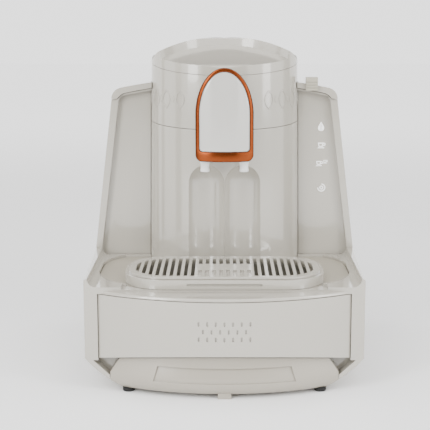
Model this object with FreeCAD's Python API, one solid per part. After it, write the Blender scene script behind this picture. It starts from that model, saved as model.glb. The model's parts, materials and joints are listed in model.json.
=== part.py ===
import FreeCAD, Part
import math
import os

# Electric turkish coffee maker. Millimetres, +Z up, front towards -Y, origin on the floor under the middle.
V = FreeCAD.Vector

# Base and deck
base_half_front = 123.8      # half width of the base at its front edge
base_half_back = 128.5       # half width where the tower stands
base_bottom = 4.0            # underside above the floor
rim_top = 102.0              # raised rim along both sides of the deck
deck_top = 94.6
deck_half = 112.7            # the deck is flat as far as this, then curves up to the rim
deck_front = -106.0
back = 133.6
wall = 3.0
recess_floor = 92.4
inlay_thick = 2.0
bulkhead = -94.0             # inner wall behind the bowed front
panel_gap = 0.3
wall_top = 84.0              # where the outer walls meet the deck moulding
rear_wall_y = 106.0

# Bowed front
bow_front = -136.0
bow_radius = 213.0
bay_half = 112.0
nose_top = 91.2
panel_top = 88.6
chin_front = 40.2            # height of the panel's lower edge in the middle
chin_slope = 0.32
vent_depth = 1.1

# Column that holds the brewing chamber, slightly narrower at the top
column_half = 73.4
column_depth = 50.0          # from its widest line to its front
column_mid = 39.0
column_back = 74.0
column_foot = recess_floor
column_lean = 0.0125
column_front = column_mid - column_depth
lower_seam_z = 222.5         # height of the lower seam at the column front
lower_seam_slope = 0.126
lid_seam_z = 273.4
lid_seam_slope = 0.245

# Tower behind, with the water tank in it
tower_front = 30.0
wing_face = 36.5
tower_foot_half = 128.2
tower_top_half = 109.6
shoulder_z = 249.2           # where the tank lid starts on the tower's sides
lid_plate = 5.4
lid_gap = 0.4
bay_floor = 115.0
bay_front = 85.5
tank_wall = 2.4
tank_front = bay_front + 2.0
tank_rear = back - wall - 1.5
tank_floor = bay_floor + 1.0
tank_top = 247.0
hinge_band = 55.0            # middle of each of the tank lid's two hinges
tank_hinge_y = back - 1.5
tank_hinge_z = 267.0
dock_x = 60.0
dock_y = 107.0

# Brew lid hinge, behind the column
hinge_y = 77.5
hinge_z = 292.0
ear_radius = 3.0
lid_pin = 1.5

# Brewing chamber and its valve
pot_y = 31.5
pot_rim = 266.5
pot_bottom = 223.0
pot_radius = 36.0
outlet_z = 209.0
jet_x = -46.0
jet_y = 54.0

# Spout head
head_half = 26.7
head_bottom = 197.2
arch_spring = 240.0
arch_rise = 42.8
head_front = -46.0
nozzle_x = 18.1
nozzle_y = -31.0
nozzle_end = 186.6

# Drip tray and grille
tray_half = 90.0
tray_front = -106.4
tray_back = -12.6
tray_foot = recess_floor + 0.2
tray_top = 101.0
tray_depth = 56.0
grille_top = 103.2
slot_pitch = 6.3
slot_width = 3.3

# Pump and power key
pump_x = -44.0
pump_z = 36.0
rocker_x = -74.0
rocker_y = back - 3.6
rocker_z = 38.0

os.makedirs("parts", exist_ok=True)

NORMALS = {"xy": V(0, 0, 1), "xz": V(0, 1, 0), "yz": V(1, 0, 0)}


def place(point, plane, at):
    a, b = point
    if plane == "xy":
        return V(a, b, at)
    if plane == "xz":
        return V(a, at, b)
    return V(at, a, b)


def outline(steps, plane, at):
    """Closed wire. A step of two numbers is a line's end, one of four is an arc's middle and end."""
    start = steps[0]
    here = start
    edges = []
    for step in list(steps[1:]) + [start]:
        end = step[-2:]
        if math.dist(here, end) < 1e-6:
            continue
        first = place(here, plane, at)
        last = place(end, plane, at)
        if len(step) == 4:
            edges.append(Part.Arc(first, place(step[:2], plane, at), last).toShape())
        else:
            edges.append(Part.LineSegment(first, last).toShape())
        here = end
    return Part.Wire(edges)


def prism(steps, plane, low, high):
    return Part.Face(outline(steps, plane, low)).extrude(NORMALS[plane] * (high - low))


def mirrored(half):
    """Outline from its right half, which runs from the centre line round to the centre line."""
    steps = list(half)
    ends = [step[-2:] for step in half]
    for i in range(len(half) - 1, 0, -1):
        x, y = ends[i - 1]
        if len(half[i]) == 4:
            mx, my = half[i][:2]
            steps.append((-mx, my, -x, y))
        else:
            steps.append((-x, y))
    return steps


def box(x0, x1, y0, y1, z0, z1):
    return Part.makeBox(x1 - x0, y1 - y0, z1 - z0, V(x0, y0, z0))


def rod(x, y, z, axis, radius, length):
    return Part.makeCylinder(radius, length, V(x, y, z), V(*axis))


def upright(x, y, z0, z1, radius):
    return rod(x, y, z0, (0, 0, 1), radius, z1 - z0)


def pipe(x, y, z0, z1, outer, inner):
    return upright(x, y, z0, z1, outer).cut(upright(x, y, z0 - 1, z1 + 1, inner))


def rounded(x0, x1, y0, y1, r):
    k = r * (1 - math.sqrt(0.5))
    return [(x0 + r, y0), (x1 - r, y0), (x1 - k, y0 + k, x1, y0 + r), (x1, y1 - r),
            (x1 - k, y1 - k, x1 - r, y1), (x0 + r, y1), (x0 + k, y1 - k, x0, y1 - r),
            (x0, y0 + r), (x0 + k, y0 + k, x0 + r, y0)]


def rounded_prism(x0, x1, y0, y1, r, z0, z1):
    return prism(rounded(x0, x1, y0, y1, r), "xy", z0, z1)


def under_slope(z_front, slope):
    """Everything below a plane that rises towards the back, given its height at the column front."""
    reach = 260.0
    low = z_front + slope * (-reach - column_front)
    high = z_front + slope * (reach - column_front)
    return prism([(-reach, -60), (reach, -60), (reach, high), (-reach, low)], "yz", -reach, reach)


def merge(first, *others):
    return first.fuse(list(others)).removeSplitter()


def hose(points, outer, inner):
    """Tube along straight runs joined by tangent arcs, as large as the runs allow."""
    pts = [V(*p) for p in points]
    edges = []
    here = pts[0]
    for i in range(1, len(pts) - 1):
        to = pts[i] - pts[i - 1]
        on = pts[i + 1] - pts[i]
        turn = to.getAngle(on)
        cut = 0.45 * min(to.Length, on.Length)
        radius = cut / math.tan(turn / 2)
        a = pts[i] - to.normalize() * cut
        b = pts[i] + on.normalize() * cut
        bisector = (a + b) * 0.5 - pts[i]
        middle = pts[i] + bisector.normalize() * (math.hypot(radius, cut) - radius)
        edges.append(Part.LineSegment(here, a).toShape())
        edges.append(Part.Arc(a, middle, b).toShape())
        here = b
    edges.append(Part.LineSegment(here, pts[-1]).toShape())
    path = Part.Wire(edges)
    start = (pts[1] - pts[0]).normalize()

    def tube(radius):
        ring = Part.Wire([Part.makeCircle(radius, pts[0], start)])
        return path.makePipeShell([ring], True, False)

    return tube(outer).cut(tube(inner))


# Base

def base_plan(inset):
    half_front = base_half_front - inset
    half_back = base_half_back - inset
    corner = 24.0 - inset
    edge = back - inset
    k = corner * (1 - math.sqrt(0.5))
    right = [(0, deck_front), (half_front, deck_front), (half_back, tower_front), (half_back, edge - corner),
             (half_back - k, edge - k, half_back - corner, edge), (0, edge)]
    return mirrored(right)


def hull(inset):
    """Front view of the base: upright sides, then a curve down to the flat underside."""
    i = inset
    right = [(0, base_bottom + i), (90 - i * 0.5, base_bottom + i),
             (108.5 - i * 0.6, 15.4 + i * 0.8, 123.8 - i, 30.0), (140, 47), (140, 160), (0, 160)]
    return prism(mirrored(right), "xz", -200, 200)


def bow_plan(inset, half, rear):
    """Plan of the bowed front drawn in by inset, out to half and back to rear."""
    axis = bow_front + bow_radius
    end = axis - math.sqrt((bow_radius - inset) ** 2 - half ** 2)
    return [(-half, rear), (-half, end), (0, bow_front + inset, half, end), (half, rear)]


def deck_recess(inset, z0, z1):
    plan = rounded_prism(-116 + inset, 116 - inset, -100 + inset, 46 - inset, 58 - inset, z0, z1)
    return plan.common(box(-130, 130, -120, tower_front - 0.1 - inset, 0, 200))


def housing_form():
    """Whole body of the base: deck, rims, front frame and outer walls."""
    shell = prism(base_plan(0), "xy", base_bottom, rim_top).common(hull(0))
    sides = []
    for edge in shell.Edges:
        b = edge.BoundBox
        if b.ZMin > rim_top - 0.01 and b.YMax > deck_front + 1 and b.YMax < back - 5:
            sides.append(edge)
    shell = shell.makeFillet(2.2, sides)
    valley = [(0, deck_top), (deck_half, deck_top), (118.4, 96.8, 121.0, rim_top + 1), (121.0, 130), (0, 130)]
    shell = shell.cut(prism(mirrored(valley), "xz", -150, 150))
    shell = shell.cut(box(-150, 150, tower_front - 0.2, 150, deck_top, 130))
    nose = prism(bow_plan(0.4, bay_half, bulkhead - 2), "xy", panel_top, nose_top)
    rim = [e for e in nose.Edges if e.BoundBox.ZMin > nose_top - 0.01 and e.BoundBox.YMin < deck_front - 4]
    shell = shell.fuse(nose.makeFillet(2.0, rim))
    bay = [(0, -1), (101.8, -1), (101.8, 14.6), (116.6, 28.2), (bay_half, 28.2), (bay_half, panel_top),
           (0, panel_top)]
    shell = shell.cut(prism(mirrored(bay), "xz", bow_front - 5, bulkhead))
    inner = prism(base_plan(wall), "xy", base_bottom + wall, 87.0).common(hull(wall))
    shell = shell.cut(inner.common(box(-140, 140, bulkhead + wall, 140, 0, 200)))
    shell = shell.cut(box(-84, 84, -88, 117, 0, base_bottom + wall + 1))
    shell = shell.cut(deck_recess(0, recess_floor - inlay_thick, 130))
    shell = shell.cut(deck_recess(5, 80, 130))
    shell = shell.cut(box(-tray_half - 1, tray_half + 1, deck_front - 1, -92, recess_floor, deck_top + 1))
    shell = shell.cut(box(-60, 60, 20, 122, 80, deck_top + 1))
    shell = shell.cut(box(40, 78, 80, 122, 80, deck_top + 1))
    shell = shell.cut(column_prism(-0.2, recess_floor, deck_top + 1))
    shell = shell.cut(box(rocker_x - 12, rocker_x + 12, back - 8, back + 5, rocker_z - 8, rocker_z + 8))
    shell = shell.cut(rod(72, back - 8, 34, (0, 1, 0), 8.2, 12))
    return shell.removeSplitter()


def wall_zones():
    """Where the outer walls of the base stand: left, right and rear, under the deck."""
    front = bulkhead + 2 * wall
    return [box(-150, 0, front, rear_wall_y, 0, wall_top), box(0, 150, front, rear_wall_y, 0, wall_top),
            box(-150, 150, rear_wall_y, 150, 0, wall_top)]


def main_housing():
    zones = wall_zones()
    return housing_form().cut(zones[0].fuse(zones[1:])).removeSplitter()


def base_walls():
    form = housing_form()
    return Part.makeCompound([form.common(zone) for zone in wall_zones()])


def deck_inlay():
    plate = deck_recess(0.3, recess_floor - inlay_thick, recess_floor)
    plate = plate.cut(rounded_prism(-80, 80, -93.5, -21, 30, 80, 100))
    return plate.cut(rounded_prism(-55, 55, 14, 40, 8, 80, 100))


def tray_well():
    """Closed tub under the tray, so that spills stay out of the works."""
    outer = rounded_prism(-82, 82, -90.5, -19, 30, tray_depth - 4, recess_floor - inlay_thick)
    return outer.cut(rounded_prism(-80, 80, -88.5, -21, 28, tray_depth - 2, 100))


def chin_plane(drop):
    """Everything above the sloping underside of the front panel, lowered by drop."""
    z = chin_front - drop
    back_z = z - chin_slope * 60
    return prism([(bow_front - 20, z + chin_slope * 20), (bow_front + 60, back_z), (bow_front + 60, 160),
                  (bow_front - 20, 160)], "yz", -150, 150)


def front_panel():
    half = bay_half - panel_gap
    rear = bulkhead - 0.2
    outer = prism(bow_plan(0, half, rear), "xy", 15, panel_top - 0.5)
    inner = prism(bow_plan(wall, half - wall, rear + 1), "xy", 10, 100)
    deep = prism(bow_plan(12, half - 12, rear + 1), "xy", 10, 100)
    skin = outer.cut(inner).common(chin_plane(0))
    ledge = outer.cut(deep).common(chin_plane(0)).cut(chin_plane(-2.5))
    panel = merge(skin, ledge)
    pockets = []
    for row, count in enumerate((7, 6, 7)):
        z = 69.2 - 6.8 * row
        for i in range(count):
            x = (i - (count - 1) / 2) * 7.4
            pocket = rounded(x - 0.75, x + 0.75, z - 1.9, z + 1.9, 0.7)
            pockets.append(prism(pocket, "xz", bow_front - 2, bow_front + 9))
    core = prism(bow_plan(vent_depth, half, rear), "xy", 10, 100)
    return panel.cut(Part.makeCompound(pockets).cut(core))


def tub_body(inset):
    """Boat shaped lower front: the bow's plan, drawn in and out again on its way down."""
    i = inset
    wires = []
    for z, draw in ((60, 10.0), (41, 6.5), (19, 3.4), (9.0, 4.4), (base_bottom, 9.0)):
        plan = bow_plan(draw + i, 102.5 - i, bulkhead - 0.3)
        wires.append(outline(plan, "xy", z + i * (z < 8)))
    front_view = [(0, 0), (101.4 - i, 0), (101.4 - i, 18), (86.8 - i, 40), (86.8 - i, 60), (0, 60)]
    sides = prism(mirrored(front_view), "xz", -150, -90)
    return Part.makeLoft(wires, True).common(hull(i)).common(sides)


def lower_front_tub():
    tub = tub_body(0).cut(chin_plane(0.3))
    pad = [(0, 14.6), (62.5, 14.6), (58.5, 28.0), (0, 28.0)]
    tub = tub.cut(prism(mirrored(pad), "xz", -150, bulkhead).cut(tub_body(1.3)))
    return tub.cut(tub_body(wall).fuse(box(-88, 88, bulkhead - 2, bulkhead, base_bottom + wall, 30)))


def bottom_plate():
    plate = box(-83.6, 83.6, -87.6, 116.6, base_bottom, base_bottom + wall)
    for x, y in screw_spots():
        plate = plate.cut(upright(x, y, 0, 20, 2.1))
    return plate


def screw_spots():
    return [(x, y) for x in (-74, 0, 74) for y in (-76, 105)]


def case_screws():
    screws = []
    for x, y in screw_spots():
        screw = merge(upright(x, y, 3.0, base_bottom, 3.6), upright(x, y, base_bottom - 0.5, 13, 1.8))
        screws.append(screw.cut(box(x - 3, x + 3, y - 0.5, y + 0.5, 2.5, 3.8)))
    return Part.makeCompound(screws)


def rubber_feet():
    spots = [(x, y) for x in (-85.5, 85.5) for y in (-104.2, 108)]
    return Part.makeCompound([Part.makeCone(5.4, 5.0, base_bottom, V(x, y, 0), V(0, 0, 1)) for x, y in spots])


def front_foot():
    foot = prism(mirrored([(0, 0), (6.0, 0), (5.7, 6.0), (5.7, 8.5), (0, 8.5)]), "xz", -129, -118)
    return foot.cut(tub_body(0))


# Column

def column_outline(inset, z):
    a = column_half - inset
    b = column_depth - inset
    end = column_back - inset
    r = 22.0 - inset
    k = r * (1 - math.sqrt(0.5))
    bow = Part.ArcOfEllipse(Part.Ellipse(V(0, column_mid, z), a, b), math.pi, 2 * math.pi).toShape()
    p = [V(a, column_mid, z), V(a, end - r, z), V(a - k, end - k, z), V(a - r, end, z),
         V(-a + r, end, z), V(-a + k, end - k, z), V(-a, end - r, z), V(-a, column_mid, z)]
    edges = [bow, Part.LineSegment(p[0], p[1]).toShape(), Part.Arc(p[1], p[2], p[3]).toShape(),
             Part.LineSegment(p[3], p[4]).toShape(), Part.Arc(p[4], p[5], p[6]).toShape(),
             Part.LineSegment(p[6], p[7]).toShape()]
    return Part.Wire(edges)


def column_prism(inset, z0, z1):
    """Slice of the column, drawn in by inset, that narrows slightly upwards."""
    low = column_outline(inset + column_lean * (z0 - column_foot), z0)
    high = column_outline(inset + column_lean * (z1 - column_foot), z1)
    return Part.makeLoft([low, high], True, True)


def flutes(extra):
    """Two upright hollows with round tops, behind the spouts, that leave room for what stands there."""
    radius = 20.0 + extra
    cuts = []
    for x in (-18.6, 18.6):
        cuts.append(upright(x, column_front - 6, 80, 171.5, radius))
        cuts.append(Part.makeSphere(radius, V(x, column_front - 6, 171.5)))
    return cuts[0].fuse(cuts[1:])


def column_lower():
    outer = column_prism(0, column_foot, 260).common(under_slope(lower_seam_z - 0.25, lower_seam_slope))
    hollow = column_prism(wall, column_foot - 1, 260).cut(flutes(wall))
    shell = outer.cut(flutes(0)).cut(hollow)
    return shell.cut(rod(0, column_front - 2, outlet_z, (0, 1, 0), 6.3, 12))


def ornament():
    """Raised band of plain leaf outlines with a small filled leaf between each two."""
    middle_z = 251.0
    skin = column_prism(-0.35, 230, 270).cut(column_prism(0.5, 229, 271))
    inset = column_lean * (middle_z - column_foot)
    pieces = []
    for side in (-1, 1):
        for k in range(4):
            for shift, tall, line in ((0.0, 9.0, 0.9), (7.2, 3.2, 9.0)):
                a = math.radians(36 + 14.5 * k + shift)
                x = side * (column_half - inset) * math.sin(a)
                y = column_mid - (column_depth - inset) * math.cos(a)
                normal = V(math.sin(a) * side / column_half, -math.cos(a) / column_depth, 0).normalize()
                pieces.append(leaf(V(x, y, middle_z), normal, tall, line).common(skin))
    return pieces


def leaf(at, normal, tall, line):
    """Pointed oval standing on the surface, as an outline of that line width or, if that is wide, filled."""
    across = V(-normal.y, normal.x, 0)
    wide = tall * 0.5

    def oval(shrink):
        top = at + V(0, 0, tall - shrink * 1.8) - normal * 3
        low = at - V(0, 0, tall - shrink * 1.8) - normal * 3
        left = at - across * (wide - shrink) - normal * 3
        right = at + across * (wide - shrink) - normal * 3
        edges = [Part.Arc(top, right, low).toShape(), Part.Arc(low, left, top).toShape()]
        return Part.Face(Part.Wire(edges)).extrude(normal * 6)

    return oval(0) if line > wide else oval(0).cut(oval(line))


def column_upper():
    band = column_prism(0, 200, 320).common(under_slope(lid_seam_z - 0.3, lid_seam_slope))
    band = band.cut(under_slope(lower_seam_z + 0.25, lower_seam_slope))
    shell = band.cut(column_prism(wall, 190, 330))
    shelf = column_prism(wall - 0.5, 262, 265).cut(upright(0, pot_y, 255, 270, pot_radius + 0.5))
    shell = merge(shell, shelf.cut(upright(jet_x, jet_y, 255, 270, 3.5)), *ornament())
    notch = rounded(-29, 29, 270.0, 281, 2.2)
    shell = shell.cut(prism(notch, "xz", column_front - 2, column_front + 3.6))
    ears = []
    for x0 in (-30, 22):
        ears.append(rod(x0, hinge_y, hinge_z, (1, 0, 0), ear_radius, 8))
        ears.append(box(x0, x0 + 8, column_back - 4, hinge_y + ear_radius, 280, hinge_z))
    shell = shell.fuse(ears)
    return shell.cut(rod(-40, hinge_y, hinge_z, (1, 0, 0), lid_pin + 0.05, 80)).removeSplitter()


def lid_scoop(i):
    """Shallow lens shaped dip in the lid's front, with a sloping wall behind it."""
    wall_cone = Part.makeCone(69.0 + i, 84.0 + i, 44.0, V(0, -29, 276), V(0, 0, 1))
    floor = [(-40, 275.4 - i), (-8.7, 282.8 - i), (18, 289.9 - i, 44, 298.6 - i), (70, 309 - i),
             (70, 330), (-40, 330)]
    return wall_cone.common(prism(floor, "yz", -80, 80))


def lid_form(i):
    """Domed cap with the dip in front, drawn in by i all round."""
    front_view = [(0, 200), (90, 200), (90, 278), (72 - i, 281 - i), (68.9 - i, 288.8 - i, 62.9 - i, 295.3 - i),
                  (36, 304.6 - i, 0, 307.3 - i)]
    side_view = [(-30, 200), (-30, 279 - i), (-9.2 + i, 279 - i), (-8.2 + i, 281.8 - i, -5.5 + i, 283.2 - i),
                 (19, 299.0 - i, 56, 307.3 - i), (66.5 - i, 305.8 - i, 72.5 - i, 296.6 - i), (90, 290 - i),
                 (90, 200)]
    form = column_prism(i, 255, 330).common(prism(mirrored(front_view), "xz", -60, 120))
    return form.common(prism(side_view, "yz", -90, 90)).cut(lid_scoop(i))


def brew_lid_shell():
    shell = lid_form(0).cut(under_slope(lid_seam_z, lid_seam_slope)).cut(lid_form(2.6))
    ears = []
    for x0 in (-21.6, 12.4):
        ears.append(rod(x0, hinge_y, hinge_z, (1, 0, 0), ear_radius, 9.2))
        ears.append(box(x0, x0 + 9.2, column_back - 4, hinge_y + ear_radius, hinge_z + 1.9, hinge_z + 4))
    shell = shell.fuse(ears)
    return shell.cut(rod(-40, hinge_y, hinge_z, (1, 0, 0), lid_pin + 0.05, 80)).removeSplitter()


def brew_lid_liner():
    plate = column_prism(3.0, 255, 330).common(under_slope(lid_seam_z + 2.6, lid_seam_slope))
    plate = plate.cut(under_slope(lid_seam_z + 0.6, lid_seam_slope)).cut(box(-90, 90, 66, 90, 200, 330))
    boss = upright(0, pot_y - 2, 270.0, 290, 29.0).common(under_slope(lid_seam_z + 1.0, lid_seam_slope))
    return merge(plate.common(lid_form(2.9)), boss)


# Spout head

def arch(shrink, foot):
    """Arch of the head in front view: rounded foot, upright sides, elliptical top."""
    half = head_half - shrink
    rise = arch_rise - shrink
    r = 6.0 - shrink * 0.8
    k = r * (1 - math.sqrt(0.5))
    y = -70
    top = Part.ArcOfEllipse(Part.Ellipse(V(0, 0, 0), rise, half), -math.pi / 2, math.pi / 2).toShape()
    top.transformShape(FreeCAD.Matrix(0, -1, 0, 0, 0, 0, 1, y, 1, 0, 0, arch_spring, 0, 0, 0, 1))
    p = [V(-half, y, arch_spring), V(-half, y, foot + r), V(-half + k, y, foot + k), V(-half + r, y, foot),
         V(half - r, y, foot), V(half - k, y, foot + k), V(half, y, foot + r), V(half, y, arch_spring)]
    edges = [Part.LineSegment(p[0], p[1]).toShape(), Part.Arc(p[1], p[2], p[3]).toShape(),
             Part.LineSegment(p[3], p[4]).toShape(), Part.Arc(p[4], p[5], p[6]).toShape(),
             Part.LineSegment(p[6], p[7]).toShape(), top]
    return Part.Face(Part.Wire(Part.__sortEdges__(edges))).extrude(V(0, 90, 0))


def head_slab(front, rear):
    """Upright slab between two concentric curved faces, front and rear measured at the middle."""
    axis = head_front + 58.0
    slab = pipe(0, axis, 180, 300, axis - front, axis - rear)
    return slab.common(box(-40, 40, -80, axis, 180, 300))


def head_housing():
    side_view = [(head_front, head_bottom), (head_front, 290), (-36.4, 290), (-35.4, 266),
                 (-29.5, 238, -9, 228), (0, 228), (0, head_bottom)]
    block = arch(0.6, head_bottom + 0.6).common(prism(side_view, "yz", -40, 40))
    block = block.cut(head_slab(head_front - 12, head_front + 4.05)).cut(column_prism(-0.5, 150, 320))
    block = block.common(box(-40, 40, head_front + 4.05, 10, 150, 320))
    block = block.cut(rod(0, -29, outlet_z, (0, 1, 0), 7.6, 40))
    block = block.cut(rod(-nozzle_x, nozzle_y, outlet_z, (1, 0, 0), 3.2, 2 * nozzle_x))
    for x in (-nozzle_x, nozzle_x):
        block = block.cut(upright(x, nozzle_y, head_bottom + 5, outlet_z, 3.0))
        block = block.cut(upright(x, nozzle_y, head_bottom - 2, head_bottom + 5, 4.35))
    return block


def badge_bezel():
    ring = arch(0, head_bottom).common(head_slab(head_front, head_front + 4.0))
    return ring.cut(arch(3.3, head_bottom + 9.0))


def badge_plate():
    return arch(3.5, head_bottom + 9.2).common(head_slab(head_front + 0.8, head_front + 4.0))


def spout_nozzle(x):
    return pipe(x, nozzle_y, nozzle_end, head_bottom + 5, 4.3, 2.6)


# Tower, tank and tank lid

def tower_outline(i):
    """Front view of the tower and its lid together, drawn in by i."""
    return [(0, deck_top), (tower_foot_half - i, deck_top), (tower_top_half - i, shoulder_z),
            (107.6 - i * 0.95, 255.6 - i * 0.8, 100.8 - i * 0.6, 260.2 - i), (52, 267.8 - i, 0, 270.4 - i)]


def tower_block(i, y0, y1):
    return prism(mirrored(tower_outline(i)), "xz", y0, y1)


def tower_shell():
    step = lid_plate + lid_gap
    shell = tower_block(0, tower_front, back).common(prism(base_plan(0), "xy", 90, 280))
    shell = shell.cut(box(-150, 150, 0, 150, shoulder_z - 0.2, 300).cut(tower_block(step, -10, 160)))
    face_cut = [(0, 90), (122.2, 90), (122.2, deck_top), (103.0, 246.6), (101.8, 249.8, 95.8, 252.9),
                (52, 260.0, 0, 262.5)]
    shell = shell.cut(prism(mirrored(face_cut), "xz", tower_front - 1, wing_face))
    front_room = [(0, 90), (124.5, 90), (105, 243), (92, 247.5), (0, 256)]
    shell = shell.cut(prism(mirrored(front_room), "xz", wing_face + wall, bay_front - wall))
    under_floor = [(0, 90), (124.5, 90), (122.5, bay_floor - wall), (0, bay_floor - wall)]
    under_room = prism(mirrored(under_floor), "xz", wing_face + wall, back - wall)
    shell = shell.cut(under_room.common(prism(base_plan(wall), "xy", 80, 280)))
    shell = shell.cut(rounded_prism(-97, 97, bay_front, back - wall, 12, bay_floor, 280))
    for x in (-hinge_band, hinge_band):
        shell = shell.cut(box(x - 10.8, x + 10.8, back - wall - 1, back + 1, tank_top + 1, 280))
    shell = shell.cut(box(-95, 95, back - wall - 1, back + 1, 263.8, 280))
    shell = shell.cut(column_prism(-0.4, 90, 300))
    return shell.cut(upright(dock_x, dock_y, 100, 120, 9.0))


def water_tank():
    t = tank_wall
    body = rounded_prism(-94, 94, tank_front, tank_rear, 10, tank_floor, tank_top)
    room = rounded_prism(-94 + t, 94 - t, tank_front + t, tank_rear - t, 8, tank_floor + t, tank_top + 1)
    body = merge(body.cut(room), upright(dock_x, dock_y, 106, tank_floor + 1, 8.0))
    body = body.cut(upright(dock_x, dock_y, 100, 125, 6.0))
    y0 = tank_hinge_y - 2.8
    y1 = tank_hinge_y + 1.4
    arm = [(tank_rear - t, tank_top - 2), (tank_rear, tank_top - 2), (tank_rear, tank_top + 2), (y1, 254),
           (y1, tank_hinge_z), (y0, tank_hinge_z), (y0, 256), (tank_rear - t, 252)]
    ears = []
    for x in (-hinge_band, hinge_band):
        for x0 in (x - 10, x + 4):
            ears.append(rod(x0, tank_hinge_y, tank_hinge_z, (1, 0, 0), ear_radius, 6))
            ears.append(prism(arm, "yz", x0, x0 + 6))
    body = body.fuse(ears)
    return body.cut(rod(-90, tank_hinge_y, tank_hinge_z, (1, 0, 0), 1.35, 180)).removeSplitter()


def tank_valve_guide():
    """Spider that keeps the poppet's stem in the middle of the tank's outlet."""
    guide = pipe(dock_x, dock_y, 110, 113, 6.0, 1.95)
    for k in range(4):
        a = math.pi / 4 + k * math.pi / 2
        guide = guide.cut(upright(dock_x + 4 * math.cos(a), dock_y + 4 * math.sin(a), 109, 114, 1.4))
    return guide


def tank_lid_cover():
    """Arched plate over the tank whose two arms reach forwards beside the column."""
    plate = tower_block(0, tower_front - 2, back).common(box(-150, 150, 0, 150, shoulder_z + 0.2, 300))
    plate = plate.common(prism(base_plan(0), "xy", 200, 300)).cut(tower_block(lid_plate, 0, 150))
    plate = plate.cut(column_prism(-0.8, 200, 320).fuse(box(-51, 51, 40, 82, 200, 320)))
    knuckles = []
    for x in (-hinge_band, hinge_band):
        x0 = x - 3.7
        plate = plate.cut(box(x - 10.4, x + 10.4, tank_hinge_y - 3.4, back + 1, 245, 290))
        knuckles.append(rod(x0, tank_hinge_y, tank_hinge_z, (1, 0, 0), ear_radius, 7.4))
        knuckles.append(box(x0, x0 + 7.4, tank_hinge_y - 5, tank_hinge_y, 262.6, tank_hinge_z))
    plate = plate.fuse(knuckles)
    return plate.cut(rod(-90, tank_hinge_y, tank_hinge_z, (1, 0, 0), 1.35, 180)).removeSplitter()


def tank_lid_tab():
    plate = box(78.7, 90.0, tower_front - 6, tower_front - 2, 257.6, 270.2)
    hook = box(78.7, 90.0, tower_front - 6, tower_front + 5, 263.0, 270.2)
    tab = plate.fuse(hook).cut(tank_lid_cover())
    for z in (259.4, 262.1, 264.8):
        tab = tab.cut(box(78, 91, tower_front - 7, tower_front - 5.4, z, z + 1.2))
    return tab.removeSplitter()


def tank_hinge_pins():
    pins = [rod(x - 10, tank_hinge_y, tank_hinge_z, (1, 0, 0), 1.3, 20) for x in (-hinge_band, hinge_band)]
    return Part.makeCompound(pins)


# Drip tray and grille

def tray_outline(inset):
    return rounded(-tray_half + inset, tray_half - inset, tray_front + inset, tray_back - inset, 37.0 - inset)


def drip_tray():
    rim = prism(tray_outline(0), "xy", tray_foot, tray_top)
    tub = rounded_prism(-78.5, 78.5, -87.4, -22.5, 27, tray_depth, tray_foot + 1)
    tray = merge(rim, tub)
    tray = tray.cut(rounded_prism(-76, 76, -84.9, -25, 24.5, tray_depth + 2.5, tray_top + 1))
    tray = tray.cut(prism(tray_outline(5.6), "xy", tray_top - 2.6, tray_top + 1))
    return tray.cut(prism(rounded(-33.2, 33.2, 95.6, 97.6, 0.9), "xz", tray_front - 1, tray_front + 1.5))


def cup_grille():
    plate = prism(tray_outline(6.0), "xy", tray_top - 2.5, grille_top - 1.0)
    plate = merge(plate, prism(tray_outline(3.4), "xy", tray_top + 0.1, grille_top))
    field = rounded_prism(-81.7, 81.7, -97.5, -24.5, 33, tray_top - 4, grille_top + 1)
    through = []
    pockets = []
    for i in range(-13, 13):
        x = (i + 0.5) * slot_pitch
        low = x - slot_width / 2
        high = x + slot_width / 2
        if abs(x) > 4 * slot_pitch:
            through.append(box(low, high, -98, -24, 90, 120))
        else:
            through.append(box(low, high, -49.4, -25, 90, 120))
            pockets.append(box(low, high, -97.2, -74.2, grille_top - 1.4, 120))
    plate = plate.cut(through[0].fuse(through[1:]).common(field))
    return plate.cut(pockets[0].fuse(pockets[1:]).common(field))


# Touch keys: simple outlined signs on the right wing

sign_y = wing_face - 0.35


def sign_prism(steps, deep):
    return prism(steps, "xz", sign_y - deep, wing_face + deep)


def sign_ring(x, z, outer, inner):
    return rod(x, sign_y, z, (0, 1, 0), outer, 0.35).cut(rod(x, sign_y - 1, z, (0, 1, 0), inner, 3))


def sign_bar(x0, x1, z0, z1):
    return box(x0, x1, sign_y, wing_face, z0, z1)


def sign_cup(x, z, size):
    """Side view of a small cup: bowl outline, ear and saucer line."""
    s = size
    bowl = [(x - 3.2 * s, z + 2.4 * s), (x - 2.4 * s, z - 1.6 * s), (x + 1.4 * s, z - 1.6 * s),
            (x + 2.2 * s, z + 2.4 * s)]
    room = [(x - 2.3 * s, z + 1.5 * s), (x - 1.8 * s, z - 0.8 * s), (x + 0.8 * s, z - 0.8 * s),
            (x + 1.3 * s, z + 1.5 * s)]
    cup = sign_prism(bowl, 0).cut(sign_prism(room, 1))
    ear = sign_ring(x + 2.7 * s, z + 0.8 * s, 1.5 * s, 0.8 * s).cut(sign_prism(bowl, 1))
    return [cup.fuse(ear), sign_bar(x - 3.4 * s, x + 3.0 * s, z - 3.0 * s, z - 2.3 * s)]


def touch_icons():
    x = 94.6
    drop = [(x, 226.4), (x + 2.6, 221.8), (x, 217.4, x - 2.6, 221.8)]
    vein = [(x - 0.35, 224), (x + 0.35, 224), (x + 0.35, 218), (x - 0.35, 218)]
    signs = [sign_prism(drop, 0).cut(sign_prism(vein, 1))]
    signs += sign_cup(x + 0.4, 203.4, 1.0)
    signs += sign_cup(x - 1.4, 185.4, 0.9)
    signs += sign_cup(x + 4.6, 187.2, 0.6)
    swirl = sign_ring(x + 1.2, 161.2, 3.9, 3.1).cut(sign_bar(x - 4, x + 1.2, 161.2, 166))
    signs += [swirl, sign_ring(x + 1.2, 161.2, 1.9, 1.1)]
    return Part.makeCompound(signs)


# Brewing works

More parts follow.
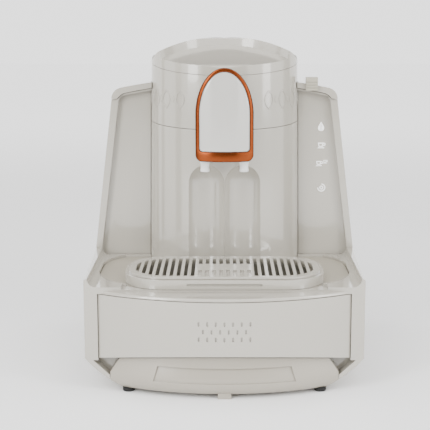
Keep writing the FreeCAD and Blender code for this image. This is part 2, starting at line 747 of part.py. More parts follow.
def brew_pot():
    cup = upright(0, pot_y, pot_bottom, pot_rim, pot_radius)
    cup = cup.fuse(upright(0, pot_y, pot_rim - 1.5, pot_rim, pot_radius + 1.1))
    cup = cup.cut(upright(0, pot_y, pot_bottom + 1.5, pot_rim + 1, pot_radius - 1.4))
    return cup.cut(upright(0, pot_y, pot_bottom - 1, pot_bottom + 3, 5.6)).removeSplitter()


def valve_body():
    body = upright(0, pot_y, 203, pot_bottom, 11.0)
    body = body.cut(upright(0, pot_y, 205.5, pot_bottom + 1, 6.2)).cut(upright(0, pot_y, 200, 210, 2.15))
    return body.cut(rod(0, pot_y - 20, outlet_z, (0, 1, 0), 3.4, 18))


def outlet_pipe():
    tube = rod(0, -27, outlet_z, (0, 1, 0), 6.0, 16 + pot_y)
    tube = tube.cut(rod(0, -30, outlet_z, (0, 1, 0), 3.4, 80))
    return tube.cut(upright(0, pot_y, 190, 230, 11.0))


def valve_plunger():
    head = upright(0, pot_y, 221.5, 226.5, 5.3)
    stem = upright(0, pot_y, 188, 222, 2.05)
    armature = upright(0, pot_y, 168, 189, 5.0)
    return merge(head, stem, armature)


def solenoid_frame():
    frame = box(-17, 17, pot_y - 14, pot_y + 14, 161, 203)
    frame = frame.cut(box(-14, 14, pot_y - 15, pot_y + 15, 164, 198.2))
    return frame.cut(upright(0, pot_y, 150, 210, 5.4))


def heater_ring():
    ring = pipe(0, pot_y, 216, pot_bottom, 34.0, 12.5)
    return ring.cut(pipe(0, pot_y, 215, 219, 30.0, 20.0))


def thermostat():
    return merge(upright(25, pot_y, 210.5, 219, 4.5), upright(25, pot_y, 205, 211, 3.0))


def foam_sensor():
    return merge(rod(-30, 60, 270.0, (0, 1, 0), 4.0, 6.5), rod(-30, 57, 270.0, (0, 1, 0), 2.4, 3.5))


# Water works in the base

def water_pump():
    body = rod(pump_x, 18, pump_z, (0, 1, 0), 17.0, 44)
    nose = rod(pump_x, 62, pump_z, (0, 1, 0), 9.0, 14)
    inlet = rod(pump_x, 8, pump_z, (0, 1, 0), 4.2, 12)
    outlet = upright(pump_x, 67, pump_z, pump_z + 18, 4.2)
    pump = merge(body, nose, inlet, outlet)
    for y in (26, 34, 42, 50):
        groove = rod(pump_x, y, pump_z, (0, 1, 0), 18.0, 3)
        pump = pump.cut(groove.cut(rod(pump_x, y, pump_z, (0, 1, 0), 15.5, 3)))
    return pump


def pump_mounts():
    mounts = []
    for y in (20, 56):
        block = box(pump_x - 14, pump_x + 14, y, y + 4, base_bottom + wall, pump_z)
        mounts.append(block.cut(rod(pump_x, y - 1, pump_z, (0, 1, 0), 17.1, 8)))
    return Part.makeCompound(mounts)


def suction_hose():
    route = [(dock_x, dock_y, 97), (dock_x, dock_y, 72), (52, 98, 48), (34, 76, 40), (12, 44, 42), (0, 8, 42),
             (-16, -18, 38), (pump_x, -16, pump_z), (pump_x, 8, pump_z)]
    return hose(route, 3.6, 2.0)


def feed_hose():
    route = [(pump_x, 67, 54), (pump_x, 67, 82), (-41, 63, 116), (-44, 60, 152), (-50, 57, 190),
             (jet_x, jet_y, 228), (jet_x, jet_y, 262)]
    return hose(route, 3.4, 1.9)


def feed_jet():
    return merge(upright(jet_x, jet_y, 262, 270.5, 3.4), rod(jet_x, jet_y, 268.5, (0.9, -0.43, 0.1), 1.9, 12))


def dock_socket():
    cup = pipe(dock_x, dock_y, 100, bay_floor - wall, 12.0, 8.6)
    cup = cup.fuse([upright(dock_x, dock_y, 97, 100, 12.0), upright(dock_x, dock_y, 99, 103.6, 2.2)])
    return cup.cut(upright(dock_x, dock_y, 96, 99.5, 2.0)).removeSplitter()


def tank_poppet():
    return merge(upright(dock_x, dock_y, 121.2, 123.4, 8.6), upright(dock_x, dock_y, 103.9, 122, 1.9))


def board(x0, x1, y0, y1, z, parts):
    """Circuit board with its taller parts, each given by its plan and height."""
    plate = box(x0, x1, y0, y1, z, z + 1.6)
    return merge(plate, *[box(*plan, z + 1.6, z + 1.6 + h) for plan, h in parts])


def power_board():
    return board(10, 78, 4, 66, 14, [((16, 40, 10, 32), 20), ((48, 60, 12, 24), 14), ((64, 74, 10, 30), 9),
                                     ((20, 34, 42, 58), 12), ((44, 72, 40, 56), 16)])


def control_board():
    return board(-60, 20, -82, -40, 14, [((-52, -30, -74, -58), 6), ((-20, -4, -70, -54), 3),
                                         ((2, 14, -76, -50), 9)])


def board_standoffs():
    spots = [(12, 6), (76, 6), (12, 64), (76, 64), (-58, -80), (18, -80), (-58, -42), (18, -42)]
    return Part.makeCompound([upright(x, y, base_bottom + wall, 14, 2.0) for x, y in spots])


def touch_board():
    return box(84, 102, wing_face + wall + 0.2, wing_face + wall + 1.8, 150, 232)


def buzzer():
    return merge(rod(0, -107, 62.4, (0, 1, 0), 12.0, 9), rod(0, -98, 62.4, (0, 1, 0), 8.0, 4))


def rocker_frame():
    frame = box(rocker_x - 13.5, rocker_x + 13.5, back, back + 1.4, rocker_z - 9.5, rocker_z + 9.5)
    frame = frame.fuse(box(rocker_x - 12, rocker_x + 12, back - 8, back, rocker_z - 8, rocker_z + 8))
    frame = frame.cut(box(rocker_x - 10.4, rocker_x + 10.4, back - 6.5, back + 3, rocker_z - 6.4, rocker_z + 6.4))
    return frame.cut(rod(rocker_x - 11.6, rocker_y, rocker_z, (1, 0, 0), 1.25, 23.2))


def power_rocker():
    """Two faced key that tips about a pin across its middle."""
    side = [(back - 5.6, -5.3), (back - 5.6, 5.3), (back + 1.9, 5.3), (back - 0.6, 0), (back + 0.1, -5.3)]
    steps = [(y, rocker_z + z) for y, z in side]
    key = prism(steps, "yz", rocker_x - 10, rocker_x + 10)
    return merge(key, rod(rocker_x - 11.4, rocker_y, rocker_z, (1, 0, 0), 1.2, 22.8))


def cord_gland():
    flange = rod(72, back - wall - 2, 34, (0, 1, 0), 10.0, 2)
    barrel = rod(72, back - wall, 34, (0, 1, 0), 8.0, wall + 2.4)
    return merge(flange, barrel).cut(rod(72, back - 12, 34, (0, 1, 0), 3.6, 30))


def terminal_block():
    block = box(50, 66, 84, 110, base_bottom + wall, 26)
    for y in (89, 97, 105):
        block = block.cut(upright(54, y, 20, 30, 2.2)).cut(upright(62, y, 20, 30, 2.2))
    return block


def outlet_seal():
    return rod(0, -23, outlet_z, (0, 1, 0), 7.3, 2.4).cut(rod(0, -24, outlet_z, (0, 1, 0), 6.0, 5))


def tank_grip_bar():
    return box(-14, 14, tank_front + tank_wall, tank_rear - tank_wall, tank_top - 8, tank_top - 3)


PIECES = {
    "main_housing": main_housing,
    "base_walls": base_walls,
    "deck_inlay": deck_inlay,
    "tray_well": tray_well,
    "front_panel": front_panel,
    "lower_front_tub": lower_front_tub,
    "bottom_plate": bottom_plate,
    "front_foot": front_foot,
    "rubber_feet": rubber_feet,
    "case_screws": case_screws,
    "column_lower_shell": column_lower,
    "column_upper_shell": column_upper,
    "brew_lid_shell": brew_lid_shell,
    "brew_lid_liner": brew_lid_liner,
    "brew_lid_seal": lambda: pipe(0, pot_y - 2, 270.5, 273.0, 31.2, 29.02),
    "lid_hinge_pin": lambda: rod(-31, hinge_y, hinge_z, (1, 0, 0), lid_pin, 62),
    "head_housing": head_housing,
    "badge_bezel": badge_bezel,
    "badge_plate": badge_plate,
    "spout_nozzle_left": lambda: spout_nozzle(-nozzle_x),
    "spout_nozzle_right": lambda: spout_nozzle(nozzle_x),
    "outlet_pipe": outlet_pipe,
    "outlet_seal": outlet_seal,
    "tower_shell": tower_shell,
    "touch_icons": touch_icons,
    "touch_board": touch_board,
    "water_tank": water_tank,
    "tank_grip_bar": tank_grip_bar,
    "tank_poppet": tank_poppet,
    "tank_valve_guide": tank_valve_guide,
    "tank_lid_cover": tank_lid_cover,
    "tank_lid_tab": tank_lid_tab,
    "tank_hinge_pins": tank_hinge_pins,
    "dock_socket": dock_socket,
    "dock_seal": lambda: pipe(dock_x, dock_y, 104, 107, 8.6, 8.05),
    "drip_tray": drip_tray,
    "cup_grille": cup_grille,
    "brew_pot": brew_pot,
    "heater_ring": heater_ring,
    "thermostat": thermostat,
    "foam_sensor": foam_sensor,
    "valve_body": valve_body,
    "valve_plunger": valve_plunger,
    "valve_spring": lambda: pipe(0, pot_y, 189.2, 202.8, 4.2, 3.0),
    "solenoid_coil": lambda: pipe(0, pot_y, 164, 198, 13.0, 5.2),
    "solenoid_frame": solenoid_frame,
    "water_pump": water_pump,
    "pump_mounts": pump_mounts,
    "suction_hose": suction_hose,
    "feed_hose": feed_hose,
    "feed_jet": feed_jet,
    "power_board": power_board,
    "control_board": control_board,
    "board_standoffs": board_standoffs,
    "buzzer": buzzer,
    "rocker_frame": rocker_frame,
    "power_rocker": power_rocker,
    "cord_gland": cord_gland,
    "terminal_block": terminal_block,
}

for name, make in PIECES.items():
    shape = make()
    print(f"{name}: {len(shape.Solids)} solids, {shape.Volume / 1000:.1f} cm3, valid {shape.isValid()}")
    shape.exportStep("parts/" + name + ".step")
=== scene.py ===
import json
import math
import bmesh
import bpy
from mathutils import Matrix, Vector


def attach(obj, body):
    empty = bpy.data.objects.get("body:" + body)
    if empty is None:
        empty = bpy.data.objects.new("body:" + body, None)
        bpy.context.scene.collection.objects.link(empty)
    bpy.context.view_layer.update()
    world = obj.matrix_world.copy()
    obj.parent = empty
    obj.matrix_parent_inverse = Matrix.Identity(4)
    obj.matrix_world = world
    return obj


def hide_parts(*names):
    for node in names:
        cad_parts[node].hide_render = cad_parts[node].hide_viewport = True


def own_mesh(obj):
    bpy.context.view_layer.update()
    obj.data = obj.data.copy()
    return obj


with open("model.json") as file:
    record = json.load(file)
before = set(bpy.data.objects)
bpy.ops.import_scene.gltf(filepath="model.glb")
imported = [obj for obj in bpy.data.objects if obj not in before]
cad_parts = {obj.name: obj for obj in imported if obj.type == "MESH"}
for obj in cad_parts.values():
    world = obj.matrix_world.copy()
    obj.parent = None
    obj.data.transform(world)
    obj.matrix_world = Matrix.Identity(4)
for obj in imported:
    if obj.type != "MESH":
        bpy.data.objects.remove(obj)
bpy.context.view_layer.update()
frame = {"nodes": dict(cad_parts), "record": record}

nodes = frame["nodes"]
quarterTurn = math.pi / 2
print("frame loaded:", len(nodes), "nodes")

# The camera stands where the photograph was taken from
photo = {
    "widthPx": 430,
    "focalPx": 1150.0,
    "centreOffsetPx": -9.5,      # the object stands a little to the right of the middle
    "baseFront": -0.106,
    "distance": 0.982,           # in front of the base's front edge
    "height": 0.336,
    "tiltDown": 10.204,
    "sensorWidth": 36.0,
}


def aimCamera(p):
    data = bpy.data.cameras.new("photoCamera")
    data.sensor_width = p["sensorWidth"]
    data.lens = p["focalPx"] / p["widthPx"] * p["sensorWidth"]
    data.shift_x = p["centreOffsetPx"] / p["widthPx"]
    camera = bpy.data.objects.new("photoCamera", data)
    camera.location = (0, p["baseFront"] - p["distance"], p["height"])
    camera.rotation_euler = (math.radians(90 - p["tiltDown"]), 0, 0)
    bpy.context.scene.collection.objects.link(camera)
    bpy.context.scene.camera = camera


aimCamera(photo)
print("camera placed")


# Shader maths: a wire is a node's output, and plain arithmetic on wires adds Math nodes
class Wire:
    def __init__(self, finish, socket):
        self.finish = finish
        self.socket = socket

    def math(self, operation, *values):
        return self.finish.node("ShaderNodeMath", {"operation": operation}, dict(enumerate(values)))

    def __add__(self, other):
        return self.math("ADD", self, other)

    def __rsub__(self, other):
        return self.math("SUBTRACT", other, self)

    def __mul__(self, other):
        return self.math("MULTIPLY", self, other)

    def clamped(self):
        return self.math("MINIMUM", self.math("MAXIMUM", self, 0.0), 1.0)


shading = {
    "rays": 6,                   # for rounded edges and for corners
    "noiseRoughness": 0.5,
    "noiseDetail": 2.0,
}


class Finish:
    def __init__(self, name):
        self.material = bpy.data.materials.new(name)
        self.material.use_nodes = True
        self.tree = self.material.node_tree
        self.tree.nodes.clear()

    def node(self, kind, settings=None, inputs=None, output=0):
        made = self.tree.nodes.new(kind)
        for key, value in (settings or {}).items():
            setattr(made, key, value)
        for key, value in (inputs or {}).items():
            if isinstance(value, Wire):
                self.tree.links.new(value.socket, made.inputs[key])
            elif value is not None:
                made.inputs[key].default_value = value
        return Wire(self, made.outputs[output])

    def noise(self, scale, detail=shading["noiseDetail"], stretch=None):
        at = self.node("ShaderNodeTexCoord", output="Object")
        if stretch:
            at = self.node("ShaderNodeMapping", inputs={"Vector": at, "Scale": stretch})
        settings = {"Vector": at, "Scale": scale, "Detail": detail, "Roughness": shading["noiseRoughness"]}
        return self.node("ShaderNodeTexNoise", inputs=settings)

    def mix(self, amount, first, second):
        return self.node("ShaderNodeMix", {"data_type": "RGBA"}, {0: amount, 6: first, 7: second}, output=2)

    def bump(self, height, distance, under=None):
        return self.node("ShaderNodeBump", inputs={"Height": height, "Distance": distance, "Normal": under})

    def rounded(self, radius):
        return self.node("ShaderNodeBevel", {"samples": shading["rays"]}, {"Radius": radius})

    def hollow(self, reach):
        """How deep in a corner a point lies, from 0 in the open to 1."""
        rays = {"samples": shading["rays"]}
        return 1.0 - self.node("ShaderNodeAmbientOcclusion", rays, {"Distance": reach}, output="AO")

    def facingY(self):
        normal = self.node("ShaderNodeNewGeometry", output="Normal")
        return self.node("ShaderNodeSeparateXYZ", inputs={0: normal}, output="Y")

    def end(self, settings):
        shader = self.node("ShaderNodeBsdfPrincipled", inputs=settings)
        out = self.tree.nodes.new("ShaderNodeOutputMaterial")
        self.tree.links.new(shader.socket, out.inputs["Surface"])
        return self.material


def rgb(red, green, blue):
    return (red, green, blue, 1.0)


# Moulded plastics, lacquered outside and satin inside
shellLook = {
    "colour": rgb(0.42, 0.397, 0.345),
    "shade": rgb(0.40, 0.375, 0.322),
    "cornerShade": rgb(0.28, 0.255, 0.21),       # painted shade, mixed in where corners and creases are deep
    "roughness": 0.16,
    "coat": 1.0,
    "edge": 0.0008,
}
# darker copy of the shell colour for the parts under the front: painted shade; the less glossy finish is
# real
underShadeLook = {**shellLook, "colour": rgb(0.36, 0.33, 0.275), "shade": rgb(0.34, 0.31, 0.255),
             "roughness": 0.3, "coat": 0.15}
inlayLook = {**shellLook, "colour": rgb(0.345, 0.315, 0.255), "shade": rgb(0.325, 0.295, 0.235),
             "roughness": 0.42, "coat": 0.0, "edge": 0.0004}
tabLook = {**inlayLook, "colour": rgb(0.40, 0.375, 0.30), "shade": rgb(0.375, 0.35, 0.275)}
plateLook = {**shellLook, "colour": rgb(0.50, 0.49, 0.46), "shade": rgb(0.48, 0.47, 0.44),
             "roughness": 0.12}
nozzleLook = {**plateLook, "colour": rgb(0.78, 0.78, 0.77), "shade": rgb(0.74, 0.74, 0.73),
              "roughness": 0.3, "coat": 0.1}
mouldGrain = {
    "driftScale": 14.0,
    "driftDetail": 3.0,
    "driftTint": 0.6,            # how far the colour varies
    "driftRoughness": 0.06,      # how far the gloss varies
    "fineScale": 260.0,
    "fineDetail": 4.0,
    "fineTint": 0.15,
    # reach and strength of the painted shade in corners and creases
    "cornerShadeReach": 0.006,
    "cornerShadeShare": 0.4,
    "waveScale": 55.0,
    "waveDepth": 0.00002,
    "grainScale": 900.0,
    "grainDepth": 0.00001,
    "coatRoughness": 0.04,
    "ior": 1.6,
}


def moulded(name, look):
    f = Finish(name)
    g = mouldGrain
    drift = f.noise(g["driftScale"], g["driftDetail"])
    fine = f.noise(g["fineScale"], g["fineDetail"])
    tint = f.mix(drift * g["driftTint"] + fine * g["fineTint"], look["colour"], look["shade"])
    # painted shade: the colour darkens towards the corner shade colour where ambient occlusion finds
    # corners and creases
    tint = f.mix(f.hollow(g["cornerShadeReach"]) * g["cornerShadeShare"], tint, look["cornerShade"])
    wave = f.bump(f.noise(g["waveScale"]), g["waveDepth"], f.rounded(look["edge"]))
    normal = f.bump(f.noise(g["grainScale"]), g["grainDepth"], wave)
    rough = drift * g["driftRoughness"] + (look["roughness"] - g["driftRoughness"] / 2)
    return f.end({"Base Color": tint, "Roughness": rough, "Normal": normal, "Coat Weight": look["coat"],
                  "Coat Roughness": g["coatRoughness"], "IOR": g["ior"]})


finishes = {
    "creamShell": moulded("creamShell", shellLook),
    "creamShadedUnder": moulded("creamShadedUnder", underShadeLook),
    "creamInner": moulded("creamInner", tabLook),
    "beigeInlay": moulded("beigeInlay", inlayLook),
    "badgeWhite": moulded("badgeWhite", plateLook),
    "nozzleWhite": moulded("nozzleWhite", nozzleLook),
}


# Copper-coloured plating, with painted shade: darker where it turns away from the front
copperLook = {
    "bright": rgb(0.26, 0.062, 0.018),
    "deep": rgb(0.16, 0.034, 0.010),
    # the painted shade colour for the sides turned away from the front
    "edge": rgb(0.02, 0.005, 0.002),
    "shadeStart": 0.93,           # a surface square to the front is at 1, one turned sideways at 0
    "shadeGain": 2.2,
    "roughness": 0.2,
    "driftScale": 30.0,
    "driftDetail": 3.0,
    "driftRoughness": 0.08,
    "brushScale": 400.0,
    "brushStretch": (1.0, 1.0, 0.05),
    "brushDepth": 0.000004,
}


def copperPlate(look):
    f = Finish("copperTrim")
    drift = f.noise(look["driftScale"], look["driftDetail"])
    tint = f.mix(drift, look["bright"], look["deep"])
    # painted shade: sides turned away from the front darken towards the edge colour
    paintedSideShade = ((f.facingY() + look["shadeStart"]) * look["shadeGain"]).clamped()
    tint = f.mix(paintedSideShade, tint, look["edge"])
    brushed = f.noise(look["brushScale"], stretch=look["brushStretch"])
    normal = f.bump(brushed, look["brushDepth"])
    rough = drift * look["driftRoughness"] + look["roughness"]
    return f.end({"Base Color": tint, "Metallic": 1.0, "Roughness": rough, "Normal": normal})


finishes["copperTrim"] = copperPlate(copperLook)

signLook = {
    "low": rgb(0.8, 0.8, 0.8),
    "high": rgb(0.95, 0.95, 0.95),
    "driftScale": 200.0,
    "driftSpread": 0.1,
    "driftBase": 0.9,
    "roughness": 0.4,
    "light": rgb(1, 1, 1),
    "strength": 0.7,
}


def litSign(look):
    f = Finish("litSign")
    glow = f.noise(look["driftScale"]) * look["driftSpread"] + look["driftBase"]
    return f.end({"Base Color": f.mix(glow, look["low"], look["high"]), "Roughness": look["roughness"],
                  "Emission Color": look["light"], "Emission Strength": look["strength"]})


finishes["litSign"] = litSign(signLook)


# Plain inner parts: colour, its shade, roughness, metal or not
plainLooks = {
    "blackRubber": (rgb(0.003, 0.003, 0.003), rgb(0.006, 0.006, 0.005), 0.75, 0.0),
    "silicone": (rgb(0.45, 0.43, 0.40), rgb(0.40, 0.38, 0.35), 0.5, 0.0),
    "potSteel": (rgb(0.62, 0.62, 0.62), rgb(0.50, 0.50, 0.50), 0.28, 1.0),
    "steelPin": (rgb(0.55, 0.55, 0.56), rgb(0.45, 0.45, 0.46), 0.3, 1.0),
    "castAlloy": (rgb(0.6, 0.6, 0.6), rgb(0.5, 0.5, 0.5), 0.5, 1.0),
    "copperCoil": (rgb(0.55, 0.2, 0.08), rgb(0.45, 0.15, 0.06), 0.35, 1.0),
    "boardGreen": (rgb(0.02, 0.12, 0.05), rgb(0.015, 0.1, 0.04), 0.4, 0.0),
    "blackPlastic": (rgb(0.015, 0.015, 0.015), rgb(0.022, 0.022, 0.022), 0.35, 0.0),
    "whitePlastic": (rgb(0.72, 0.71, 0.69), rgb(0.68, 0.67, 0.65), 0.4, 0.0),
}


plainGrain = {
    "driftScale": 40.0,
    "driftDetail": 4.0,
    "driftRoughness": 0.12,
    "grainScale": 500.0,
    "grainDetail": 3.0,
    "grainDepth": 0.00002,
    "edge": 0.0004,
}


def plain(name, colour, shade, roughness, metallic):
    f = Finish(name)
    g = plainGrain
    drift = f.noise(g["driftScale"], g["driftDetail"])
    normal = f.bump(f.noise(g["grainScale"], g["grainDetail"]), g["grainDepth"], f.rounded(g["edge"]))
    rough = drift * g["driftRoughness"] + (roughness - g["driftRoughness"] / 2)
    return f.end({"Base Color": f.mix(drift, colour, shade), "Roughness": rough, "Metallic": metallic,
                  "Normal": normal})


for name, look in plainLooks.items():
    finishes[name] = plain(name, *look)

tankLook = {
    "colour": rgb(0.86, 0.89, 0.90),
    "shade": rgb(0.82, 0.86, 0.87),
    "driftScale": 30.0,
    "driftRoughness": 0.05,
    "driftAlpha": 0.05,
    "driftDepth": 0.00004,
    "roughness": 0.05,
    "alpha": 0.35,
}


def clearTank(look):
    f = Finish("clearTank")
    drift = f.noise(look["driftScale"])
    return f.end({"Base Color": f.mix(drift, look["colour"], look["shade"]),
                  "Roughness": drift * look["driftRoughness"] + look["roughness"],
                  "Alpha": drift * look["driftAlpha"] + look["alpha"],
                  "Normal": f.bump(drift, look["driftDepth"])})


finishes["clearTank"] = clearTank(tankLook)
print("materials made:", len(finishes))

slotFinish = {
    "cream_shell": "creamShell", "cream_inner": "creamInner", "inlay_beige": "beigeInlay",
    "copper_trim": "copperTrim", "badge_white": "badgeWhite", "icon_light": "litSign",
    "black_rubber": "blackRubber", "silicone": "silicone", "clear_tank": "clearTank",
    "pot_steel": "potSteel", "steel_pin": "steelPin", "cast_alloy": "castAlloy",
    "copper_coil": "copperCoil", "board_green": "boardGreen", "black_plastic": "blackPlastic",
    "white_plastic": "whitePlastic",
}
# the parts under the front take the shaded copy of the shell colour, which is painted shade
ownFinish = {"lower_front_tub": "creamShadedUnder", "front_foot": "creamShadedUnder", "bottom_plate": "creamShadedUnder"}
slotOf = {s["node"]: s["material_slot"] for s in frame["record"]["subparts"]}


def dressNodes():
    for name, piece in nodes.items():
        piece.data.materials.clear()
        piece.data.materials.append(finishes[ownFinish.get(name, slotFinish[slotOf[name]])])


dressNodes()
print("nodes dressed")


# Pieces made here take the place of a node
def addPiece(name, mesh, finish, body, node):
    bmesh.ops.recalc_face_normals(mesh, faces=mesh.faces)
    data = bpy.data.meshes.new(name)
    mesh.to_mesh(data)
    mesh.free()
    data.materials.append(finishes[finish])
    data.polygons.foreach_set("use_smooth", [True] * len(data.polygons))
    piece = bpy.data.objects.new(name, data)
    bpy.context.scene.collection.objects.link(piece)
    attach(piece, body)
    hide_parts(node)
    return piece


def skin(mesh, rows, closed=True):
    """Faces between rows of points. Each row is a loop, and closed joins the last row to the first."""
    made = [[mesh.verts.new(point) for point in row] for row in rows]
    pairs = list(zip(made, made[1:]))
    if closed:
        pairs.append((made[-1], made[0]))
    for near, far in pairs:
        for i in range(len(near)):
            j = (i + 1) % len(near)
            mesh.faces.new((near[i], near[j], far[j], far[i]))
    return made


def arc(turn, steps):
    """Cosine and sine at even steps through an angle, both ends included."""
    angles = [turn * k / steps for k in range(steps + 1)]
    return [(math.cos(a), math.sin(a)) for a in angles]


def turned(mesh, at, profile, around):
    """Solid turned about an upright line through at, from a profile of radius and height."""
    circle = arc(2 * math.pi, around)[:-1]
    rows = []
    for radius, height in profile:
        rows.append([(at[0] + radius * c, at[1] + radius * s, height) for c, s in circle])
    skin(mesh, rows)


# The spout head's arch: outline from the middle of its foot, up one side, over the top and down the other
archShape = {
    "half": 0.0267,
    "spring": 0.240,             # height where the rounded top starts
    "rise": 0.0428,
    "foot": 0.1972,
    "corner": 0.006,
    "cornerShare": 0.8,          # how much of a shrink the corner's radius loses
    "front": -0.046,
    "bend": 0.058,               # radius of the head's bowed front
    "steps": {"foot": 8, "corner": 10, "side": 12, "top": 30},
}


def archPoints(shape, shrink, lift):
    half = shape["half"] - shrink
    rise = shape["rise"] - shrink
    foot = shape["foot"] + lift
    corner = shape["corner"] - shape["cornerShare"] * shrink
    steps = shape["steps"]
    points = [((half - corner) * k / steps["foot"], foot) for k in range(steps["foot"])]
    for c, s in arc(quarterTurn, steps["corner"])[:-1]:
        points.append((half - corner + corner * s, foot + corner * (1 - c)))
    for k in range(steps["side"]):
        points.append((half, foot + corner + (shape["spring"] - foot - corner) * k / steps["side"]))
    for c, s in arc(quarterTurn, steps["top"]):
        points.append((half * c, shape["spring"] + rise * s))
    return points + [(-x, z) for x, z in points[-2:0:-1]]


def onBow(shape, x, z, depth):
    """Point of the head's bowed front, moved back by depth."""
    bend = shape["bend"]
    return (x, shape["front"] + bend - math.sqrt((bend - depth) ** 2 - x * x), z)


bezelShape = {
    "width": 0.0033,
    "lowBand": 0.009,
    "depth": 0.004,
    "roundOutside": 0.0011,
    "roundInside": 0.0006,
    "roundSteps": 5,
}


def makeBezel(shape, b):
    outer = archPoints(shape, 0.0, 0.0)
    inner = archPoints(shape, b["width"], b["lowBand"])
    outside, inside = b["roundOutside"], b["roundInside"]
    quarter = arc(quarterTurn, b["roundSteps"])
    steps = [(False, outside * (1 - s), outside * (1 - c)) for c, s in quarter]
    steps += [(True, inside * (1 - c), inside * (1 - s)) for c, s in quarter]
    rows = [[onBow(shape, x, z, b["depth"]) for x, z in outer]]
    for fromInner, depth, inwards in steps:
        row = []
        for (x0, z0), (x1, z1) in zip(outer, inner):
            reach = math.hypot(x1 - x0, z1 - z0)
            share = 1 - inwards / reach if fromInner else inwards / reach
            row.append(onBow(shape, x0 + (x1 - x0) * share, z0 + (z1 - z0) * share, depth))
        rows.append(row)
    rows.append([onBow(shape, x, z, b["depth"]) for x, z in inner])
    mesh = bmesh.new()
    skin(mesh, rows)
    addPiece("copperBezel", mesh, "copperTrim", "spout_head", "badge_bezel")


makeBezel(archShape, bezelShape)

plateShape = {
    "shrink": 0.0035,
    "lift": 0.0092,
    "middleZ": 0.236,
    "front": 0.0008,
    "back": 0.004,
    "edge": 0.0007,
    "edgeSteps": 5,
    "rings": (0.9, 0.75, 0.55, 0.35, 0.15, 0.0),      # shares of the outline, in to the middle
    "weld": 0.00001,
}


def makePlate(shape, p):
    rim = archPoints(shape, p["shrink"], p["lift"])
    reach = shape["half"] - p["shrink"]
    middle = p["middleZ"]

    def ring(share, depth):
        return [onBow(shape, x * share, middle + (z - middle) * share, depth) for x, z in rim]

    rows = [ring(0.0, p["back"]), ring(1.0, p["back"])]
    for c, s in arc(quarterTurn, p["edgeSteps"]):
        rows.append(ring(1 - p["edge"] * (1 - c) / reach, p["front"] + p["edge"] * (1 - s)))
    rows += [ring(share, p["front"]) for share in p["rings"]]
    mesh = bmesh.new()
    skin(mesh, rows, closed=False)
    bmesh.ops.remove_doubles(mesh, verts=mesh.verts, dist=p["weld"])
    addPiece("badgePlate", mesh, "badgeWhite", "spout_head", "badge_plate")


makePlate(archShape, plateShape)
print("spout head dressed")

# Nozzles: a short tube with a rolled lip and a slight waist
nozzleShape = {
    "x": 0.0181,
    "y": -0.031,
    "low": 0.1866,
    "high": 0.2022,
    "outer": 0.0043,
    "bore": 0.0026,
    "waist": 0.0003,             # how far the waist draws in
    "waistHeights": (0.0075, 0.0068, 0.0030, 0.0022),
    "lipSteps": 8,
    "around": 48,
}


def makeNozzles(n):
    wide = n["outer"]
    narrow = n["outer"] - n["waist"]
    lip = (n["outer"] - n["bore"]) / 2
    middle = n["bore"] + lip
    profile = [(wide, n["high"])]
    for radius, height in zip((wide, narrow, narrow, wide), n["waistHeights"]):
        profile.append((radius, n["low"] + height))
    for c, s in arc(math.pi, n["lipSteps"]):
        profile.append((middle + lip * c, n["low"] + lip * (1 - s)))
    profile.append((n["bore"], n["high"]))
    for x, side in ((-n["x"], "left"), (n["x"], "right")):
        mesh = bmesh.new()
        turned(mesh, (x, n["y"]), profile, n["around"])
        addPiece("nozzle_" + side, mesh, "nozzleWhite", "spout_head", "spout_nozzle_" + side)


makeNozzles(nozzleShape)

# Rubber feet: a grooved pad with a rounded edge and a hollow underneath
footShape = {
    "spots": [(x, y) for x in (-0.0855, 0.0855) for y in (-0.1042, 0.108)],
    "top": 0.004,
    "outer": 0.0054,
    "core": 0.0004,              # the pad is turned round a hole this small
    "grooveHeights": (0.0036, 0.0032, 0.0028),
    "grooveDepth": 0.0005,
    "draft": 0.0001,
    "round": 0.0009,
    "roundSteps": 6,
    "hollowOuter": 0.6,          # shares of the outer radius
    "hollowInner": 0.55,
    "hollowDepth": 0.0006,
    "around": 32,
}


def makeFeet(f):
    wide = f["outer"]
    pad = wide - f["draft"]
    above, groove, below = f["grooveHeights"]
    profile = [(f["core"], f["top"]), (wide, f["top"]), (wide, above), (wide - f["grooveDepth"], groove),
               (pad, below)]
    for c, s in arc(quarterTurn, f["roundSteps"]):
        profile.append((pad - f["round"] * (1 - c), f["round"] * (1 - s)))
    profile += [(wide * f["hollowOuter"], 0.0), (wide * f["hollowInner"], f["hollowDepth"]),
                (f["core"], f["hollowDepth"])]
    mesh = bmesh.new()
    for spot in f["spots"]:
        turned(mesh, spot, profile, f["around"])
    addPiece("rubberFeet", mesh, "blackRubber", "root", "rubber_feet")


makeFeet(footShape)

# Valve spring: a wound wire at one fixed length; the real one shortens as the plunger rises
springShape = {
    "y": 0.0315,
    "low": 0.1897,
    "high": 0.2023,
    "radius": 0.0036,
    "wire": 0.0005,
    "turns": 7,
    "stepsPerTurn": 24,
    "sides": 8,
    "keep": 0.56,                # share of its length left at full travel
}


def makeSpring(s):
    steps = s["turns"] * s["stepsPerTurn"]
    section = arc(2 * math.pi, s["sides"])[:-1]
    rows = []
    for k in range(steps + 1):
        a = 2 * math.pi * k / s["stepsPerTurn"]
        height = s["low"] + (s["high"] - s["low"]) * k / steps
        row = []
        for c, rise in section:
            out = s["radius"] + s["wire"] * c
            row.append((out * math.cos(a), s["y"] + out * math.sin(a), height + s["wire"] * rise))
        rows.append(row)
    mesh = bmesh.new()
    made = skin(mesh, rows, closed=False)
    mesh.faces.new(made[0])
    mesh.faces.new(made[-1])
    piece = addPiece("valveSpring", mesh, "steelPin", "root", "valve_spring")
    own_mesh(piece)


makeSpring(springShape)
print("nozzles, feet and spring made")

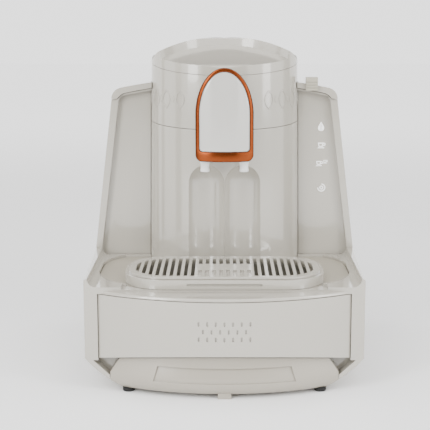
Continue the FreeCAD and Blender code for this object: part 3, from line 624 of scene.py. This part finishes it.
# Floor and light: a white floor, a bright sky, tall lamps beside the camera and grey cards further round
studio = {
    "floorSize": (12.0, 12.0),
    "floorColour": rgb(0.96, 0.96, 0.96),
    "floorRoughness": 0.8,
    "worldStrength": 2.2,
    "lamps": [
        ("keyLight", (-0.75, -1.0, 0.75), (0.35, 1.2), 14.0),
        ("fillLight", (0.95, -0.75, 0.7), (0.3, 1.2), 8.0),
        ("topLight", (0.0, 0.1, 1.5), (1.0, 1.0), 2.0),
    ],
    "lampAim": (0, 0, 0.15),
    "cardColour": rgb(0.10, 0.095, 0.09),
    "cardRoughness": 0.9,
    "cards": [((0.62, 0.054), 0.214), ((-0.66, 0.02), 0.09), ((-0.60, -0.36), 0.12), ((0.0, -2.3), 2.2)],
    "cardHigh": 0.75,
    "cardOffFloor": 0.01,
    "ceiling": ((0, 1.0, 1.3), (2.0, 1.3)),
    "ceilingAim": (0, 0, 0.2),
}


def gridObject(name, size, material):
    mesh = bmesh.new()
    bmesh.ops.create_grid(mesh, x_segments=1, y_segments=1, size=0.5)
    bmesh.ops.scale(mesh, vec=(*size, 1.0), verts=mesh.verts)
    data = bpy.data.meshes.new(name)
    mesh.to_mesh(data)
    mesh.free()
    data.materials.append(material)
    made = bpy.data.objects.new(name, data)
    bpy.context.scene.collection.objects.link(made)
    return made


def lookAtPart(item, at, aim):
    item.location = at
    item.rotation_euler = (Vector(aim) - Vector(at)).to_track_quat("-Z", "Y").to_euler()


def hungCard(name, size, material, at, aim):
    """A card that shows only as a reflection."""
    card = gridObject(name, size, material)
    lookAtPart(card, at, aim)
    card.visible_camera = False


def buildStudio(s):
    pale = Finish("paleFloor").end({"Base Color": s["floorColour"], "Roughness": s["floorRoughness"]})
    gridObject("floor", s["floorSize"], pale)
    grey = Finish("greyCard").end({"Base Color": s["cardColour"], "Roughness": s["cardRoughness"]})
    middle = s["cardHigh"] / 2 + s["cardOffFloor"]
    for number, ((x, y), width) in enumerate(s["cards"]):
        hungCard(f"card{number}", (width, s["cardHigh"]), grey, (x, y, middle), (0, 0, middle))
    at, size = s["ceiling"]
    hungCard("ceilingCard", size, grey, at, s["ceilingAim"])
    world = bpy.data.worlds.new("softWorld")
    bpy.context.scene.world = world
    world.use_nodes = True
    sky = world.node_tree.nodes["Background"]
    sky.inputs["Color"].default_value = rgb(1, 1, 1)
    sky.inputs["Strength"].default_value = s["worldStrength"]
    for name, at, (wide, tall), power in s["lamps"]:
        lamp = bpy.data.lights.new(name, "AREA")
        lamp.shape = "RECTANGLE"
        lamp.size = wide
        lamp.size_y = tall
        lamp.energy = power
        holder = bpy.data.objects.new(name, lamp)
        lookAtPart(holder, at, s["lampAim"])
        bpy.context.scene.collection.objects.link(holder)


buildStudio(studio)
print("studio ready")
